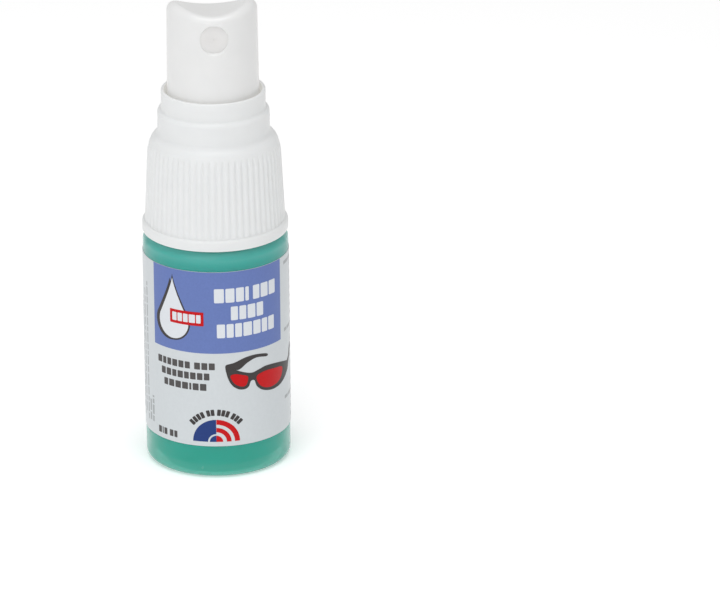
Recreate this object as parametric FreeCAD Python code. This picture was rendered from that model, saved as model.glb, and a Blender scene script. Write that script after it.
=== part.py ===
"""Pump spray bottle for lens cleaner, in millimetres.

Origin at the centre of the bottle's base, +Z up, label and nozzle towards -Y.
"""
import FreeCAD
import Part
import math
import os

V = FreeCAD.Vector
UP = V(0, 0, 1)
CENTRE = V(0, 0, 0)
FORWARD = V(0, -1, 0)

# Bottle: a 15 ml cylinder with a 20-410 screw neck
BODY_RADIUS = 12.5
WALL = 0.9
HEEL_RADIUS = 1.5
SHOULDER_Z = 41.3
SHOULDER_ROUND = 1.5
STANDING_RING = (9.6, 11.0)
PUSH_UP = 0.9
NECK_RADIUS = 8.75
NECK_BORE = 7.1
NECK_TOP_Z = 55.0
NECK_CHAMFER = 0.3

# Screw thread of the 20-410 finish: single start, 8 threads to the inch
PITCH = 25.4 / 8
BOTTLE_THREAD_CREST = 9.75
BOTTLE_THREAD_TURNS = 1.25
BOTTLE_THREAD_START_Z = 49.2
CAP_THREAD_CREST = 9.1
CAP_THREAD_TURNS = 1.0
CAP_THREAD_START_ANGLE = 60.0
CAP_THREAD_DROP = 1.24
THREAD_ROOT_WIDTH = 1.5
THREAD_CREST_WIDTH = 0.9
THREAD_EMBED = 0.2

# Label: one wrapped strip with a gap at the back
LABEL_Z = (6.0, 38.0)
LABEL_THICKNESS = 0.1
LABEL_GAP_ANGLE = 36.0

# Liquid
FILL_Z = 39.3
LIQUID_GAP = 0.04

# Screw closure with its two-step collar
SKIRT_Z = (41.6, 54.6)
SKIRT_BORE = 10.1
RING_RADIUS = 12.55
RING_TOP_Z = 43.6
RING_ROUND = 0.55
RIB_COUNT = 62
RIB_DEPTH = 0.5
GROOVE_RADIUS = 0.32
RIB_RADIUS_LOW = 12.05
RIB_RADIUS_HIGH = 11.5
DOME_TOP_RADIUS = 9.8
DOME_TOP_Z = 58.8
DOME_BLEND_ANGLE = 75.0
DECK_Z = (56.8, 58.9)
DECK_HOLE = 6.0
COLLAR_BORE = 8.4
COLLAR_LOW_RADIUS = 9.6
COLLAR_LOW_TOP_Z = 63.6
COLLAR_LOW_ROUND = 0.9
COLLAR_HIGH_RADIUS = 8.93
COLLAR_HIGH_TOP_Z = 66.9
COLLAR_HIGH_ROUND = 0.25

# Pump housing
GASKET_THICKNESS = 0.8
GASKET_RADII = (6.45, 9.4)
FLANGE_RADIUS = 9.3
FLANGE_Z = (NECK_TOP_Z + GASKET_THICKNESS, 56.75)
RING_SEAT_RADIUS = 5.8
RING_SEAT_TOP_Z = 59.0
SLEEVE_RADIUS = 6.4
SLEEVE_LOW_Z = 53.4
SLEEVE_BORE = 4.9
SLEEVE_BORE_LOW_Z = 54.9
CHAMBER_RADIUS = 4.2
CHAMBER_BORE = 3.1
CHAMBER_TOP_Z = 51.4
CHAMBER_LOW_Z = 38.2
CHAMBER_FLOOR_Z = 39.6
VENT_Z = 51.6
VENT_RADIUS = 0.4
BALL_POCKET_RADIUS = 1.55
BALL_POCKET_LOW_Z = 37.9
INLET_RADIUS = 0.75
INLET_TOP_Z = 37.1
TAIL_RADIUS = 2.1
TAIL_Z = (31.5, 36.4)
NUB_COUNT = 3
NUB_REACH = 1.1
NUB_LOW_Z = 39.2
NUB_WIDTH = 0.7
NUB_EMBED = 0.2

# Dip tube
TUBE_RADIUS = 1.2
TUBE_BORE = 0.75
TUBE_Z = (2.8, 36.3)
TUBE_CUT_ANGLE = 40.0

# Inlet ball
BALL_RADIUS = 1.25

# Gland that holds the stem down in the housing
GLAND_TOP_Z = 61.2
GLAND_FLANGE_RADIUS = 6.8
GLAND_FLANGE_TOP_Z = 59.8
GLAND_SLEEVE_BORE = 3.2
GLAND_ROOF_Z = 58.4
GLAND_NECK_RADIUS = 3.4
GLAND_BORE = 2.06

# Stem and its plug
STEM_RADIUS = 2.0
STEM_LOW_RADIUS = 1.5
STEM_BORE = 0.9
STEM_Z = (49.6, 75.0)
COLLAR_RADIUS = 2.9
COLLAR_Z = (57.3, 58.4)
PORT_Z = 51.2
PORT_RADIUS = 0.3
PLUG_FLANGE_RADIUS = 2.3
PLUG_FLANGE_Z = (48.8, 49.6)
PLUG_SPIGOT_RADIUS = 1.5
PLUG_SPIGOT_LOW_Z = 47.2
PLUG_TIP_CHAMFER = 0.4
PLUG_PIN_TOP_Z = 50.6

# Piston: a hub with a flared sealing lip at each end, and a foot that seats on the plug
PISTON_Z = (49.6, 53.4)
PISTON_BORE = 1.54
PISTON_HUB_RADIUS = 2.25
PISTON_WAIST_RADIUS = 2.5
PISTON_WAIST_Z = (51.3, 52.0)
PISTON_LIP_RADII = (2.75, 3.08)
PISTON_LOW_LIP_Z = (50.0, 50.4)
PISTON_HIGH_LIP_Z = (52.9, 53.3)
PISTON_LIP_GROOVE_Z = (50.6, 52.4)
PISTON_FOOT_RADII = (1.9, 2.15)
PISTON_FOOT_TOP_Z = 51.5
PISTON_BORE_LOW_Z = 51.8

# Springs
RETURN_SPRING_Z = (39.6, 48.8)
RETURN_SPRING_MEAN = 2.35
RETURN_SPRING_WIRE = 0.22
RETURN_SPRING_TURNS = 7
VALVE_SPRING_Z = (53.4, 57.3)
VALVE_SPRING_MEAN = 1.95
VALVE_SPRING_WIRE = 0.15
VALVE_SPRING_TURNS = 5
WIRE_SIDES = 8

# Actuator button
BUTTON_LOW_Z = 64.0
BUTTON_LOW_RADIUS = 7.9
BUTTON_HIGH_RADIUS = 7.64
BUTTON_BLANK_TOP_Z = 86.0
BUTTON_CAVITY_RADIUS = 6.95
BUTTON_CAVITY_TOP_Z = 73.5
BOSS_RADIUS = 3.4
BOSS_LOW_Z = 69.5
SOCKET_RADIUS = 2.03
SOCKET_TOP_Z = 75.05
CHANNEL_RADIUS = 0.8
NOZZLE_Z = 78.0
NOZZLE_RADIUS = 2.4
NOZZLE_DEPTH = 3.0
NOZZLE_SINK = 0.55
NOZZLE_FACE_THICKNESS = 0.75
NOZZLE_EDGE_CHAMFER = 0.15
NOZZLE_POST_RADIUS = 1.3
NOZZLE_POST_GAP = 0.02
NOZZLE_POST_LENGTH = 2.2
NOZZLE_TURN = 3.8
ORIFICE_RADIUS = 0.15
DIMPLE_DEPTH = 0.45
RIM_ROUND = 1.3
POCKET_FLOOR = BUTTON_LOW_RADIUS - NOZZLE_SINK - NOZZLE_DEPTH

# Finger dish in the button's top: low across the middle, falling towards the back
DISH_FRONT_Z = 81.98
DISH_SLOPE = 0.155
DISH_CURVE_FRONT = 0.061
DISH_CURVE_BACK = 0.035


def polygon(points):
    """A closed flat wire through (radius, height) points in the XZ plane."""
    corners = [V(r, 0, z) for r, z in points]
    return Part.makePolygon(corners + [corners[0]])


def revolve(wire):
    """The solid that a closed half profile sweeps round the Z axis."""
    return Part.Face(wire).revolve(CENTRE, UP, 360)


def turned(points):
    """A turned solid from a straight-sided half profile."""
    return revolve(polygon(points))


def tube(inner, outer, low, high):
    """A plain ring between two radii and two heights."""
    return turned([(inner, low), (outer, low), (outer, high), (inner, high)])


def disc(radius, low, high):
    """A plain cylinder on the Z axis between two heights."""
    return Part.makeCylinder(radius, high - low, V(0, 0, low))


def line(a, b):
    """A straight edge between two (radius, height) points."""
    return Part.LineSegment(V(a[0], 0, a[1]), V(b[0], 0, b[1])).toShape()


def bend(centre, radii, start, end):
    """A curved edge on a circle or ellipse about centre, from start to end in degrees."""
    def at(angle):
        turn = math.radians(angle)
        return V(centre[0] + radii[0] * math.cos(turn), 0, centre[1] + radii[1] * math.sin(turn))

    if radii[0] == radii[1]:
        return Part.Arc(at(start), at((start + end) / 2), at(end)).toShape()
    steps = 8
    curve = Part.BSplineCurve()
    curve.interpolate([at(start + (end - start) * i / steps) for i in range(steps + 1)])
    return curve.toShape()


def closed(edges):
    """A closed wire from edges whose ends meet or are joined by straight edges."""
    joined = []
    for i, edge in enumerate(edges):
        joined.append(edge)
        gap_start = edge.lastVertex(True).Point
        gap_end = edges[(i + 1) % len(edges)].firstVertex(True).Point
        if gap_start.distanceToPoint(gap_end) > 1e-6:
            joined.append(Part.LineSegment(gap_start, gap_end).toShape())
    return Part.Wire(joined)


def helical_sweep(section, pitch, rise, radius):
    """The solid that a closed section sweeps up a right-handed helix."""
    helix = Part.makeHelix(pitch, rise, radius)
    sweep = Part.BRepOffsetAPI.MakePipeShell(Part.Wire(helix.Edges))
    sweep.setFrenetMode(True)
    sweep.add(section)
    sweep.build()
    sweep.makeSolid()
    return sweep.shape()


def thread_ridge(root, crest, start_z, turns, start_angle):
    """One helical ridge of trapezoid section; crest may be inside or outside root."""
    half_root = THREAD_ROOT_WIDTH / 2
    half_crest = THREAD_CREST_WIDTH / 2
    section = polygon([(root, -half_root), (crest, -half_crest), (crest, half_crest), (root, half_root)])
    ridge = helical_sweep(section, PITCH, PITCH * turns, min(root, crest))
    ridge.rotate(CENTRE, UP, start_angle)
    ridge.translate(V(0, 0, start_z))
    return ridge


def coil_spring(mean, wire, low, high, turns):
    """A compression spring, of many-sided wire, that fills the space from low to high."""
    rise = high - low - 2 * wire
    corners = [2 * math.pi * i / WIRE_SIDES for i in range(WIRE_SIDES)]
    section = polygon([(mean + wire * math.sin(turn), wire * math.cos(turn)) for turn in corners])
    spring = helical_sweep(section, rise / turns, rise, mean)
    spring.translate(V(0, 0, low + wire))
    return spring


def inner_body_radius():
    """The radius of the bottle's inside wall."""
    return BODY_RADIUS - WALL


def bottle():
    """Round bottle with a pushed-up base, flat shoulder and threaded neck."""
    heel_centre = (BODY_RADIUS - HEEL_RADIUS, HEEL_RADIUS)
    shoulder_centre = (BODY_RADIUS - SHOULDER_ROUND, SHOULDER_Z - SHOULDER_ROUND)
    outside = closed([
        line((0, PUSH_UP), (STANDING_RING[0] - PUSH_UP, PUSH_UP)),
        line((STANDING_RING[0], 0), (STANDING_RING[1], 0)),
        bend(heel_centre, (HEEL_RADIUS, HEEL_RADIUS), -90, 0),
        bend(shoulder_centre, (SHOULDER_ROUND, SHOULDER_ROUND), 0, 90),
        line((NECK_RADIUS + NECK_CHAMFER, SHOULDER_Z), (NECK_RADIUS, SHOULDER_Z + NECK_CHAMFER)),
        line((NECK_RADIUS, NECK_TOP_Z - NECK_CHAMFER), (NECK_RADIUS - NECK_CHAMFER, NECK_TOP_Z)),
        line((0, NECK_TOP_Z), (0, PUSH_UP)),
    ])
    blank = revolve(outside)
    ridge = thread_ridge(NECK_RADIUS - THREAD_EMBED, BOTTLE_THREAD_CREST, BOTTLE_THREAD_START_Z,
                         BOTTLE_THREAD_TURNS, 0)
    return blank.fuse(ridge).cut(bottle_inside(0, NECK_TOP_Z)).removeSplitter()


def bottle_inside(gap, top):
    """The space inside the bottle, shrunk by gap, up to the given height."""
    radius = inner_body_radius() - gap
    floor = PUSH_UP + WALL + gap
    roof = SHOULDER_Z - WALL - gap
    round_low = HEEL_RADIUS - WALL / 2
    round_high = SHOULDER_ROUND - WALL / 2
    if top <= roof:
        space = closed([
            line((0, floor), (radius - round_low, floor)),
            bend((radius - round_low, floor + round_low), (round_low, round_low), -90, 0),
            line((radius, top), (0, top)),
        ])
        return revolve(space)
    space = closed([
        line((0, floor), (radius - round_low, floor)),
        bend((radius - round_low, floor + round_low), (round_low, round_low), -90, 0),
        bend((radius - round_high, roof - round_high), (round_high, round_high), 0, 90),
        line((NECK_BORE - gap, roof), (NECK_BORE - gap, top)),
        line((0, top), (0, floor)),
    ])
    return revolve(space)


def liquid():
    """The cleaning liquid, with room for the pump and dip tube that stand in it."""
    pump_room = tube(0, CHAMBER_RADIUS + LIQUID_GAP, CHAMBER_LOW_Z - LIQUID_GAP, FILL_Z)
    taper_room = turned([(0, TAIL_Z[0]), (TAIL_RADIUS + LIQUID_GAP, TAIL_Z[0]),
                         (TAIL_RADIUS + LIQUID_GAP, TAIL_Z[1] - LIQUID_GAP),
                         (CHAMBER_RADIUS + LIQUID_GAP, CHAMBER_LOW_Z - LIQUID_GAP),
                         (0, CHAMBER_LOW_Z - LIQUID_GAP)])
    tube_room = disc(TUBE_RADIUS + LIQUID_GAP, TUBE_Z[0] - 2 * LIQUID_GAP, TAIL_Z[0])
    room = pump_room.fuse(taper_room).fuse(tube_room)
    return bottle_inside(LIQUID_GAP, FILL_Z).cut(room)


def label():
    """Wrapped label, open along the back."""
    outer = BODY_RADIUS + LABEL_THICKNESS
    section = polygon([(BODY_RADIUS, LABEL_Z[0]), (outer, LABEL_Z[0]),
                       (outer, LABEL_Z[1]), (BODY_RADIUS, LABEL_Z[1])])
    strip = Part.Face(section).revolve(CENTRE, UP, 360 - LABEL_GAP_ANGLE)
    strip.rotate(CENTRE, UP, 90 + LABEL_GAP_ANGLE / 2)
    return strip


def rib_grooves():
    """The grooves between the closure's ribs, which run out on the domed top."""
    lean = (RIB_RADIUS_HIGH - RIB_RADIUS_LOW) / (SKIRT_Z[1] - RING_TOP_Z)
    sink = RIB_DEPTH - GROOVE_RADIUS
    height = DOME_TOP_Z - RING_TOP_Z
    start = V(RIB_RADIUS_LOW - sink, 0, RING_TOP_Z)
    along = V(lean * height, 0, height)
    grooves = []
    for i in range(RIB_COUNT):
        groove = Part.makeCylinder(GROOVE_RADIUS, along.Length, start, along)
        groove.rotate(CENTRE, UP, 360.0 * i / RIB_COUNT)
        grooves.append(groove)
    return Part.makeCompound(grooves)


def dome_blend():
    """The hollow curve, centre, radius and end angle, that leads from the collar to the dome."""
    turn = math.radians(DOME_BLEND_ANGLE)
    width, height = RIB_RADIUS_HIGH - DOME_TOP_RADIUS, DOME_TOP_Z - SKIRT_Z[1]
    meet_r = DOME_TOP_RADIUS + width * math.cos(turn)
    meet_z = SKIRT_Z[1] + height * math.sin(turn)
    fall = math.atan2(height * math.cos(turn), width * math.sin(turn))
    radius = (meet_r - COLLAR_LOW_RADIUS) / (1 - math.sin(fall))
    centre = (COLLAR_LOW_RADIUS + radius, meet_z + radius * math.cos(fall))
    return centre, radius, 270 - math.degrees(fall)


def closure_outside():
    """Outer form of the closure: bottom ring, skirt, dome and two-step collar."""
    dome_radii = (RIB_RADIUS_HIGH - DOME_TOP_RADIUS, DOME_TOP_Z - SKIRT_Z[1])
    ring_corner = (RING_RADIUS - RING_ROUND, RING_TOP_Z - RING_ROUND)
    blend_centre, blend_radius, blend_end = dome_blend()
    low_corner = (COLLAR_LOW_RADIUS - COLLAR_LOW_ROUND, COLLAR_LOW_TOP_Z - COLLAR_LOW_ROUND)
    low_end = math.degrees(math.acos((COLLAR_HIGH_RADIUS - low_corner[0]) / COLLAR_LOW_ROUND))
    high_corner = (COLLAR_HIGH_RADIUS - COLLAR_HIGH_ROUND, COLLAR_HIGH_TOP_Z - COLLAR_HIGH_ROUND)
    return revolve(closed([
        line((0, SKIRT_Z[0]), (RING_RADIUS - RING_ROUND, SKIRT_Z[0])),
        line((RING_RADIUS, SKIRT_Z[0] + RING_ROUND), (RING_RADIUS, ring_corner[1])),
        bend(ring_corner, (RING_ROUND, RING_ROUND), 0, 90),
        line((RIB_RADIUS_LOW, RING_TOP_Z), (RIB_RADIUS_HIGH, SKIRT_Z[1])),
        bend((DOME_TOP_RADIUS, SKIRT_Z[1]), dome_radii, 0, DOME_BLEND_ANGLE),
        bend(blend_centre, (blend_radius, blend_radius), blend_end, 180),
        bend(low_corner, (COLLAR_LOW_ROUND, COLLAR_LOW_ROUND), 0, low_end),
        bend(high_corner, (COLLAR_HIGH_ROUND, COLLAR_HIGH_ROUND), 0, 90),
        line((0, COLLAR_HIGH_TOP_Z), (0, SKIRT_Z[0])),
    ]))


def closure():
    """Ribbed screw cap with a bottom ring, a pump deck and a two-step collar."""
    inside = disc(SKIRT_BORE, SKIRT_Z[0] - 1, DECK_Z[0])
    inside = inside.fuse(disc(DECK_HOLE, DECK_Z[0] - 1, DECK_Z[1] + 1))
    inside = inside.fuse(disc(COLLAR_BORE, DECK_Z[1], COLLAR_HIGH_TOP_Z + 1))
    thread_z = BOTTLE_THREAD_START_Z - CAP_THREAD_DROP + PITCH * CAP_THREAD_START_ANGLE / 360
    ridge = thread_ridge(SKIRT_BORE + THREAD_EMBED, CAP_THREAD_CREST, thread_z,
                         CAP_THREAD_TURNS, CAP_THREAD_START_ANGLE)
    return closure_outside().cut(rib_grooves()).cut(inside).fuse(ridge)


def gasket():
    """Flat seal between the bottle's lip and the pump's flange."""
    return tube(GASKET_RADII[0], GASKET_RADII[1], NECK_TOP_Z, FLANGE_Z[0])


def pump_housing():
    """Pump cylinder with its flange, vent, ball pocket and dip tube socket."""
    outside = turned([
        (0, TAIL_Z[0]), (TAIL_RADIUS, TAIL_Z[0]), (TAIL_RADIUS, TAIL_Z[1]),
        (CHAMBER_RADIUS, CHAMBER_LOW_Z), (CHAMBER_RADIUS, CHAMBER_TOP_Z),
        (SLEEVE_RADIUS, SLEEVE_LOW_Z), (SLEEVE_RADIUS, FLANGE_Z[0]),
        (FLANGE_RADIUS, FLANGE_Z[0]), (FLANGE_RADIUS, FLANGE_Z[1]),
        (RING_SEAT_RADIUS, FLANGE_Z[1]), (RING_SEAT_RADIUS, RING_SEAT_TOP_Z), (0, RING_SEAT_TOP_Z),
    ])
    inside = turned([
        (0, TAIL_Z[0]), (TUBE_RADIUS, TAIL_Z[0]), (TUBE_RADIUS, TAIL_Z[1]),
        (INLET_RADIUS, TAIL_Z[1]), (INLET_RADIUS, INLET_TOP_Z),
        (BALL_POCKET_RADIUS, BALL_POCKET_LOW_Z), (BALL_POCKET_RADIUS, CHAMBER_FLOOR_Z),
        (CHAMBER_BORE, CHAMBER_FLOOR_Z), (CHAMBER_BORE, SLEEVE_BORE_LOW_Z),
        (SLEEVE_BORE, SLEEVE_BORE_LOW_Z), (SLEEVE_BORE, RING_SEAT_TOP_Z), (0, RING_SEAT_TOP_Z),
    ])
    vent = Part.makeCylinder(VENT_RADIUS, SLEEVE_RADIUS, V(0, 0, VENT_Z), V(1, 0, 0))
    housing = outside.cut(inside).cut(vent)
    return housing.fuse(ball_nubs())


def ball_nubs():
    """Small nubs round the pocket's mouth that keep the inlet ball in."""
    ring = tube(NUB_REACH, BALL_POCKET_RADIUS + NUB_EMBED, NUB_LOW_Z, CHAMBER_FLOOR_Z)
    nubs = []
    for i in range(NUB_COUNT):
        bar = Part.makeBox(CHAMBER_BORE, NUB_WIDTH, CHAMBER_FLOOR_Z, V(0, -NUB_WIDTH / 2, 0))
        bar.rotate(CENTRE, UP, 360.0 * i / NUB_COUNT)
        nubs.append(ring.common(bar))
    return Part.makeCompound(nubs)


def dip_tube():
    """Straight dip tube with a slanted foot."""
    whole = tube(TUBE_BORE, TUBE_RADIUS, TUBE_Z[0], TUBE_Z[1])
    size = 10 * TUBE_RADIUS
    wedge = Part.makeBox(size, size, size, V(-size / 2, -size / 2, -size))
    wedge.rotate(CENTRE, V(1, 0, 0), TUBE_CUT_ANGLE)
    rise = TUBE_RADIUS * math.tan(math.radians(TUBE_CUT_ANGLE))
    wedge.translate(V(0, 0, TUBE_Z[0] + rise))
    return whole.cut(wedge)


def inlet_ball():
    """Check ball resting on the conical seat at the foot of the chamber."""
    lean = math.atan2(BALL_POCKET_RADIUS - INLET_RADIUS, BALL_POCKET_LOW_Z - INLET_TOP_Z)
    apex_z = INLET_TOP_Z - INLET_RADIUS / math.tan(lean)
    centre_z = apex_z + BALL_RADIUS / math.sin(lean)
    return Part.makeSphere(BALL_RADIUS, V(0, 0, centre_z))


def gland():
    """Snap-in gland: guides the stem and clamps the closure to the housing."""
    return turned([
        (GLAND_SLEEVE_BORE, SLEEVE_BORE_LOW_Z), (SLEEVE_BORE, SLEEVE_BORE_LOW_Z),
        (SLEEVE_BORE, RING_SEAT_TOP_Z), (GLAND_FLANGE_RADIUS, RING_SEAT_TOP_Z),
        (GLAND_FLANGE_RADIUS, GLAND_FLANGE_TOP_Z), (GLAND_NECK_RADIUS, GLAND_FLANGE_TOP_Z),
        (GLAND_NECK_RADIUS, GLAND_TOP_Z), (GLAND_BORE, GLAND_TOP_Z),
        (GLAND_BORE, GLAND_ROOF_Z), (GLAND_SLEEVE_BORE, GLAND_ROOF_Z),
    ])


def stem():
    """Hollow stem with a stop collar and side ports near its foot."""
    outside = turned([
        (0, STEM_Z[0]), (STEM_LOW_RADIUS, STEM_Z[0]), (STEM_LOW_RADIUS, COLLAR_Z[0]),
        (COLLAR_RADIUS, COLLAR_Z[0]), (COLLAR_RADIUS, COLLAR_Z[1]),
        (STEM_RADIUS, COLLAR_Z[1]), (STEM_RADIUS, STEM_Z[1]), (0, STEM_Z[1]),
    ])
    port = Part.makeCylinder(PORT_RADIUS, 2 * STEM_RADIUS, V(-STEM_RADIUS, 0, PORT_Z), V(1, 0, 0))
    return outside.cut(disc(STEM_BORE, STEM_Z[0], STEM_Z[1])).cut(port)


def stem_plug():
    """Plug in the stem's foot: valve seat for the piston and guide for the return spring."""
    return turned([
        (0, PLUG_SPIGOT_LOW_Z), (PLUG_SPIGOT_RADIUS - PLUG_TIP_CHAMFER, PLUG_SPIGOT_LOW_Z),
        (PLUG_SPIGOT_RADIUS, PLUG_SPIGOT_LOW_Z + PLUG_TIP_CHAMFER), (PLUG_SPIGOT_RADIUS, PLUG_FLANGE_Z[0]),
        (PLUG_FLANGE_RADIUS, PLUG_FLANGE_Z[0]), (PLUG_FLANGE_RADIUS, PLUG_FLANGE_Z[1]),
        (STEM_BORE, PLUG_FLANGE_Z[1]), (STEM_BORE, PLUG_PIN_TOP_Z), (0, PLUG_PIN_TOP_Z),
    ])


def piston():
    """Piston with two sealing lips that slides a little on the stem."""
    low, high = PISTON_Z
    foot_bore, foot = PISTON_FOOT_RADII
    lip_inner, lip_outer = PISTON_LIP_RADII
    return turned([
        (PISTON_BORE, high), (PISTON_HUB_RADIUS, high), (PISTON_HUB_RADIUS, PISTON_LIP_GROOVE_Z[1]),
        (lip_inner, PISTON_HIGH_LIP_Z[1]), (lip_outer, PISTON_HIGH_LIP_Z[1]),
        (lip_outer, PISTON_HIGH_LIP_Z[0]), (PISTON_WAIST_RADIUS, PISTON_WAIST_Z[1]),
        (PISTON_WAIST_RADIUS, PISTON_WAIST_Z[0]), (lip_outer, PISTON_LOW_LIP_Z[1]),
        (lip_outer, PISTON_LOW_LIP_Z[0]), (lip_inner, PISTON_LOW_LIP_Z[0]),
        (PISTON_HUB_RADIUS, PISTON_LIP_GROOVE_Z[0]), (foot, low), (foot_bore, low),
        (foot_bore, PISTON_FOOT_TOP_Z), (PISTON_BORE, PISTON_BORE_LOW_Z),
    ])


def return_spring():
    """Spring that pushes the stem up again."""
    return coil_spring(RETURN_SPRING_MEAN, RETURN_SPRING_WIRE, *RETURN_SPRING_Z, RETURN_SPRING_TURNS)


def valve_spring():
    """Light spring that holds the piston down on the plug."""
    return coil_spring(VALVE_SPRING_MEAN, VALVE_SPRING_WIRE, *VALVE_SPRING_Z, VALVE_SPRING_TURNS)


def dish_height(x, y):
    """Height of the finger dish above a point."""
    front = -BUTTON_HIGH_RADIUS
    share = min(1.0, max(0.0, (y - front) / (2 * BUTTON_HIGH_RADIUS)))
    curve = DISH_CURVE_FRONT + (DISH_CURVE_BACK - DISH_CURVE_FRONT) * share
    return DISH_FRONT_Z - DISH_SLOPE * (y - front) + curve * x * x


def dish_cutter():
    """Everything above the finger dish."""
    reach = BUTTON_LOW_RADIUS + 1
    steps = 8
    places = [-reach + 2 * reach * i / steps for i in range(steps + 1)]
    surface = Part.BSplineSurface()
    surface.interpolate([[V(x, y, dish_height(x, y)) for y in places] for x in places])
    return surface.toShape().extrude(V(0, 0, BUTTON_BLANK_TOP_Z - BUTTON_LOW_Z))


def nozzle_turned(shape):
    """Turn a shape made facing -Y to the way the nozzle points at rest."""
    shape.rotate(CENTRE, UP, NOZZLE_TURN)
    return shape


def rounded_rim(button):
    """The button with the rim of its finger dish rounded."""
    rims = [edge for edge in button.Edges
            if edge.BoundBox.ZMin > NOZZLE_Z and edge.BoundBox.XLength > BUTTON_HIGH_RADIUS]
    return button.makeFillet(RIM_ROUND, rims)


def spray_channel():
    """The way up from the stem's socket and across to the nozzle's pocket."""
    socket = disc(SOCKET_RADIUS, BOSS_LOW_Z, SOCKET_TOP_Z)
    riser = disc(CHANNEL_RADIUS, SOCKET_TOP_Z, NOZZLE_Z)
    across = Part.makeCylinder(CHANNEL_RADIUS, POCKET_FLOOR, V(0, 0, NOZZLE_Z), FORWARD)
    pocket = Part.makeCylinder(NOZZLE_RADIUS, 2 * NOZZLE_DEPTH, V(0, -POCKET_FLOOR, NOZZLE_Z), FORWARD)
    return socket.fuse(riser).fuse(across).fuse(pocket)


def nozzle_post():
    """The post in the pocket that the insert fits over, with a half-round groove for the spray."""
    foot = V(0, -POCKET_FLOOR, NOZZLE_Z)
    post = Part.makeCylinder(NOZZLE_POST_RADIUS, NOZZLE_POST_LENGTH, foot, FORWARD)
    groove = Part.makeCylinder(CHANNEL_RADIUS, NOZZLE_POST_LENGTH, foot, FORWARD)
    width = 2 * NOZZLE_POST_RADIUS
    solid_half = Part.makeBox(width, NOZZLE_POST_LENGTH, width,
                              foot - V(0, NOZZLE_POST_LENGTH, NOZZLE_POST_RADIUS))
    return post.cut(groove.cut(solid_half))


def actuator():
    """Push button with a finger dish, a socket for the stem and a spray channel."""
    blank = Part.makeCone(BUTTON_LOW_RADIUS, BUTTON_HIGH_RADIUS, BUTTON_BLANK_TOP_Z - BUTTON_LOW_Z,
                          V(0, 0, BUTTON_LOW_Z))
    button = rounded_rim(blank.cut(dish_cutter()))
    cavity = tube(BOSS_RADIUS, BUTTON_CAVITY_RADIUS, BUTTON_LOW_Z, BUTTON_CAVITY_TOP_Z)
    mouth = disc(BUTTON_CAVITY_RADIUS, BUTTON_LOW_Z, BOSS_LOW_Z)
    button = button.cut(cavity).cut(mouth).cut(spray_channel()).fuse(nozzle_post())
    return nozzle_turned(button)


def nozzle_insert():
    """Cup-shaped nozzle insert with a fine orifice and a spray dimple."""
    face = POCKET_FLOOR + NOZZLE_DEPTH
    inner = face - NOZZLE_FACE_THICKNESS
    bore = NOZZLE_POST_RADIUS + NOZZLE_POST_GAP
    cup = turned([
        (ORIFICE_RADIUS, inner), (bore, inner), (bore, POCKET_FLOOR), (NOZZLE_RADIUS, POCKET_FLOOR),
        (NOZZLE_RADIUS, face - NOZZLE_EDGE_CHAMFER), (NOZZLE_RADIUS - NOZZLE_EDGE_CHAMFER, face),
        (ORIFICE_RADIUS + DIMPLE_DEPTH, face), (ORIFICE_RADIUS, face - DIMPLE_DEPTH),
    ])
    cup.rotate(CENTRE, V(1, 0, 0), 90)
    cup.translate(V(0, 0, NOZZLE_Z))
    return nozzle_turned(cup)


PARTS = {
    "bottle": bottle,
    "liquid": liquid,
    "label": label,
    "closure": closure,
    "gasket": gasket,
    "pump_housing": pump_housing,
    "dip_tube": dip_tube,
    "inlet_ball": inlet_ball,
    "gland": gland,
    "stem": stem,
    "stem_plug": stem_plug,
    "piston": piston,
    "return_spring": return_spring,
    "valve_spring": valve_spring,
    "actuator": actuator,
    "nozzle_insert": nozzle_insert,
}


def main():
    """Write every piece to its own file and print what it holds."""
    os.makedirs("parts", exist_ok=True)
    for name, make in PARTS.items():
        shape = make()
        shape.exportStep(f"parts/{name}.step")
        print(name, "solids", len(shape.Solids), "valid", shape.isValid(), "mm3", round(shape.Volume, 2))


main()
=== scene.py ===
"""Looks of a lens cleaner pump spray: bottle, liquid, printed label, closure and pump."""
import math

import bmesh
import bpy
from mathutils import Matrix, Vector


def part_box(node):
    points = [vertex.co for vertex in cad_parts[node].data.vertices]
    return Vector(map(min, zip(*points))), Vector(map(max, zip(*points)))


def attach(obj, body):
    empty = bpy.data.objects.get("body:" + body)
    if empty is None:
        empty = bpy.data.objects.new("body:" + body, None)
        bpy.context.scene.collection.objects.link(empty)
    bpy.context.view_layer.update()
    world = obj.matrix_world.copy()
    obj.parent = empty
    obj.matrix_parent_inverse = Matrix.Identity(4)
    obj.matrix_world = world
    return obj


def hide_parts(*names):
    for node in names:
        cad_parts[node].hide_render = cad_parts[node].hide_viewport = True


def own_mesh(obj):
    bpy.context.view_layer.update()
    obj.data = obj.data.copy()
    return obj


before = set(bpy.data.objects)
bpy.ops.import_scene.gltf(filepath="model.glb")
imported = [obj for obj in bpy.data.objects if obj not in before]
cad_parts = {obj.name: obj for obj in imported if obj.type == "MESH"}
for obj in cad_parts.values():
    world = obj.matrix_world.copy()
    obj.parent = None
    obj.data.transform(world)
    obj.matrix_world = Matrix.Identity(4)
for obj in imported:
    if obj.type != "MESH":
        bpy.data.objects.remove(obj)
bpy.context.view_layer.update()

MM = 0.001
TURN = 2 * math.pi


def span(node):
    """A CAD node's lowest and highest corners in millimetres."""
    low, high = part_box(node)
    return low / MM, high / MM


def heights(node):
    """How low and how high a CAD node reaches, in millimetres."""
    low, high = span(node)
    return low.z, high.z


# ---------------------------------------------------------------- driving dimensions
# In millimetres, from the frame where it holds them.

BOTTLE_HIGH = heights("bottle")[1]
LIQUID_LOW, LIQUID_HIGH = heights("liquid")
LABEL_LOW, LABEL_HIGH = heights("label")
CLOSURE_LOW, CLOSURE_HIGH = heights("closure")
BUTTON_LOW = heights("actuator")[0]

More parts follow.
